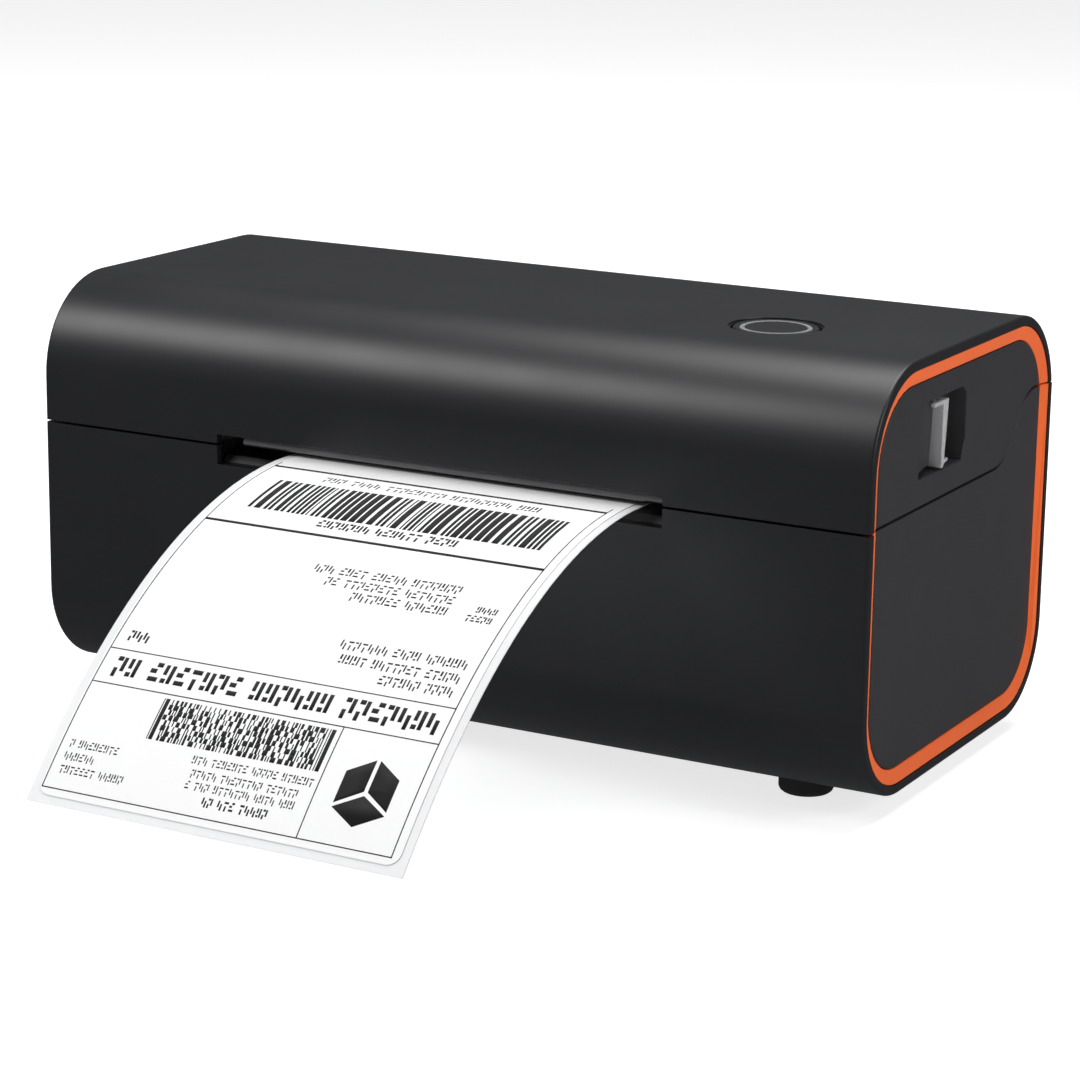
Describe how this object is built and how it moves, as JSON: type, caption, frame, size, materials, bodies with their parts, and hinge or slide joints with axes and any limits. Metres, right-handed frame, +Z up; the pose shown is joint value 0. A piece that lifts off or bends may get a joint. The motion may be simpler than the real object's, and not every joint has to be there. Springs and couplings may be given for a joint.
{
  "type": "thermal label printer",
  "caption": "Desktop direct thermal label printer with a rear-hinged cover, side release levers, a feed button with a light ring and a printed label leaving its front slot.",
  "frame": {"origin": "middle of the footprint of the printer with its printed strip, on the surface that the feet stand on", "axes": "+X to the right seen from the front, along the platen; +Y from the front face to the rear; +Z up"},
  "size_m": [0.22, 0.2123, 0.1032],
  "materials": {
    "shell_black": "satin fine-textured injection moulded ABS",
    "panel_grey": "fine-textured dark grey moulded plastic",
    "trim_orange": "satin orange moulded plastic",
    "inner_plastic": "plain black moulded plastic",
    "rubber_black": "moulded rubber",
    "platen_rubber": "ground silicone rubber",
    "plated_steel": "zinc plated sheet and turned steel",
    "lever_metal": "bright satin chrome",
    "aluminium_part": "extruded aluminium",
    "head_ceramic": "alumina with a glazed heater line",
    "motor_can": "black coated steel",
    "board_green": "solder masked laminate",
    "component_black": "moulded packages",
    "gear_acetal": "natural acetal",
    "bronze_bush": "sintered bronze",
    "brass_pinion": "machined brass",
    "socket_metal": "tinned sheet steel",
    "switch_black": "glossy moulded plastic",
    "light_ring": "frosted light pipe",
    "dark_metal": "dark nickel finish",
    "liner_paper": "glassine backing paper",
    "label_paper": "coated thermal paper"
  },
  "bodies": {
    "root": {"lower_casing": "shell_black", "bottom_cover": "shell_black", "bottom_screws": "plated_steel", "rubber_feet": "rubber_black", "lower_side_panel_right": "panel_grey", "lower_side_panel_left": "panel_grey", "lower_trim_right": "trim_orange", "lower_trim_left": "trim_orange", "paper_deck": "inner_plastic", "exit_guide": "inner_plastic", "frame_left": "plated_steel", "frame_right": "plated_steel", "frame_screws": "plated_steel", "frame_tie_bars": "plated_steel", "platen_bushings": "bronze_bush", "stepper_motor": "motor_can", "idler_stud": "plated_steel", "main_board": "board_green", "board_components": "component_black", "usb_socket": "socket_metal", "power_socket": "switch_black", "switch_bezel": "switch_black", "lower_media_sensor": "inner_plastic", "cover_switch": "component_black", "strike_pins": "plated_steel", "hinge_pins": "plated_steel", "label_liner": "liner_paper", "label_face": "label_paper"},
    "cover": {"top_cover": "shell_black", "upper_side_panel_right": "panel_grey", "upper_side_panel_left": "panel_grey", "upper_trim_right": "trim_orange", "upper_trim_left": "trim_orange", "tear_bar": "dark_metal", "cover_frame": "inner_plastic", "cover_screws": "plated_steel", "button_board": "board_green", "upper_media_sensor": "inner_plastic", "latch_spring": "plated_steel", "head_springs": "plated_steel"},
    "head": {"head_bracket": "plated_steel", "heat_sink": "aluminium_part", "print_head": "head_ceramic", "head_pivot_pins": "plated_steel"},
    "button": {"feed_button": "shell_black", "button_light_ring": "light_ring"},
    "latch": {"latch_shaft": "plated_steel", "latch_lever_right": "lever_metal", "latch_lever_left": "lever_metal", "latch_hooks": "plated_steel"},
    "platen": {"platen_roller": "platen_rubber", "platen_shaft": "plated_steel", "platen_gear": "gear_acetal"},
    "idler": {"idler_gear": "gear_acetal"},
    "pinion": {"motor_pinion": "brass_pinion"},
    "guide_left_body": {"guide_left": "inner_plastic"},
    "guide_right_body": {"guide_right": "inner_plastic"},
    "guide_pinion_body": {"guide_pinion": "gear_acetal"},
    "rocker": {"power_rocker": "switch_black"}
  },
  "joints": [
    {"name": "cover_hinge", "type": "hinge", "parent": "root", "child": "cover", "pos_m": [0, 0.10334, 0.0844], "axis": [-1, 0, 0], "range_deg": [0, 80]},
    {"name": "latch_swing", "type": "hinge", "parent": "cover", "child": "latch", "pos_m": [0, 0.03514, 0.0907], "axis": [-1, 0, 0], "range_deg": [0, 10], "stiffness_Nm_per_rad": 0.3, "springref_deg": -20.05},
    {"name": "head_float", "type": "hinge", "parent": "cover", "child": "head", "pos_m": [0, 0.04114, 0.0772], "axis": [-1, 0, 0], "range_deg": [0, 2.5], "stiffness_Nm_per_rad": 3, "springref_deg": -6.88, "deforming": ["head_springs"]},
    {"name": "button_press", "type": "slide", "parent": "cover", "child": "button", "axis": [0, 0, -1], "range_m": [0, 0.0008], "stiffness_N_per_m": 800, "springref_m": -0.0006},
    {"name": "platen_spin", "type": "hinge", "parent": "root", "child": "platen", "pos_m": [0, 0.01914, 0.0595], "axis": [1, 0, 0], "continuous": true},
    {"name": "idler_spin", "type": "hinge", "parent": "root", "child": "idler", "pos_m": [-0.0685, 0.03457, 0.04111], "axis": [1, 0, 0], "continuous": true},
    {"name": "pinion_spin", "type": "hinge", "parent": "root", "child": "pinion", "pos_m": [-0.0685, 0.05411, 0.034], "axis": [1, 0, 0], "continuous": true},
    {"name": "guide_left_slide", "type": "slide", "parent": "root", "child": "guide_left_body", "axis": [1, 0, 0], "range_m": [-0.0035, 0.0004]},
    {"name": "guide_right_slide", "type": "slide", "parent": "root", "child": "guide_right_body", "axis": [-1, 0, 0], "range_m": [-0.0035, 0.0004]},
    {"name": "guide_pinion_spin", "type": "hinge", "parent": "root", "child": "guide_pinion_body", "pos_m": [0.00725, 0.06714, 0.062], "axis": [0, 0, 1], "range_deg": [-3.77, 29.15]},
    {"name": "power_rock", "type": "hinge", "parent": "root", "child": "rocker", "pos_m": [0.084, 0.10164, 0.0422], "axis": [1, 0, 0], "range_deg": [0, 16]}
  ],
  "couplings": [
    {"joint": "idler_spin", "follows": "platen_spin", "ratio": -0.66667},
    {"joint": "pinion_spin", "follows": "platen_spin", "ratio": 1.5},
    {"joint": "guide_right_slide", "follows": "guide_left_slide", "ratio": 1},
    {"joint": "guide_pinion_spin", "follows": "guide_left_slide", "rad_per_m": -142.86}
  ]
}
